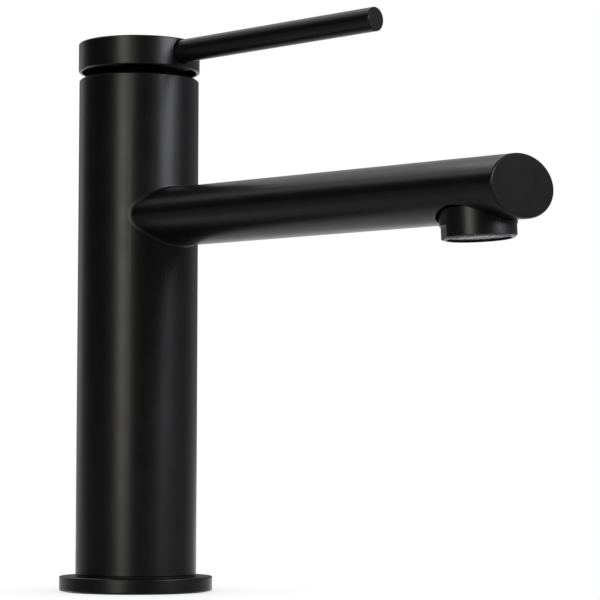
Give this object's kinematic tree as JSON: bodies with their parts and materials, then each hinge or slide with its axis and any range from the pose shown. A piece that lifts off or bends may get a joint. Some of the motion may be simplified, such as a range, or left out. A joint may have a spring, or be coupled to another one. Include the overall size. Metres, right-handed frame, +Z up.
{
  "type": "single-lever basin mixer faucet",
  "caption": "Matt black basin mixer: round column on a base flange, straight oval spout with an aerator, and a flat cap with a pin lever that works a ceramic cartridge.",
  "frame": {"origin": "centre of the base's underside, on the deck", "axes": "+Z up along the column's axis, -Y towards the user along the spout and the lever, +X to the user's right, the cold side"},
  "size_m": [0.057, 0.206, 0.2061],
  "materials": {
    "black_coat": "matt black powder coat on brass, fine even grain, soft satin highlights",
    "rubber": "black EPDM seals",
    "brass": "plain machined brass",
    "white_plastic": "moulded off-white acetal",
    "grey_plastic": "moulded grey acetal",
    "black_plastic": "moulded black acetal",
    "red_plastic": "moulded red acetal",
    "disc_ceramic": "lapped alumina",
    "steel": "turned stainless steel"
  },
  "bodies": {
    "tap_body": {"deck_seal": "rubber", "base_flange": "black_coat", "column_gasket": "rubber", "base_block": "brass", "riser_tubes": "white_plastic", "riser_o_rings": "rubber", "column_shell": "black_coat", "valve_seat": "brass", "spout_tube": "black_coat", "spout_braze": "black_coat", "spout_end_cap": "black_coat", "aerator_socket": "black_coat", "aerator_washer": "rubber", "aerator_filter": "grey_plastic", "flow_regulator": "grey_plastic", "aerator_insert": "black_plastic", "aerator_shell": "black_coat", "inlet_seals": "rubber", "outlet_seal": "rubber", "cartridge_base": "white_plastic", "fixed_disc": "disc_ceramic", "cartridge_housing": "white_plastic", "retaining_nut": "brass", "trim_ring": "black_coat"},
    "collar": {"rotor_collar": "grey_plastic", "pivot_pin": "steel", "limit_ring": "red_plastic"},
    "disc_slider": {"moving_disc": "disc_ceramic", "disc_carrier": "grey_plastic"},
    "handle": {"stem": "black_coat", "handle_cap": "black_coat", "grub_screw": "steel", "lever_washer": "rubber", "lever": "black_coat"}
  },
  "joints": [
    {"name": "handle_turn", "type": "hinge", "parent": "tap_body", "child": "collar", "pos_m": [0, 0, 0.1766], "axis": [0, 0, 1], "range_deg": [-50, 50]},
    {"name": "handle_lift", "type": "hinge", "parent": "collar", "child": "handle", "pos_m": [0, 0, 0.1766], "axis": [-1, 0, 0], "range_deg": [0, 20]},
    {"name": "disc_slide", "type": "slide", "parent": "collar", "child": "disc_slider", "axis": [0, -1, 0], "range_m": [0, 0.00305]}
  ],
  "couplings": [
    {"joint": "disc_slide", "follows": "handle_lift", "m_per_rad": 0.008624}
  ]
}
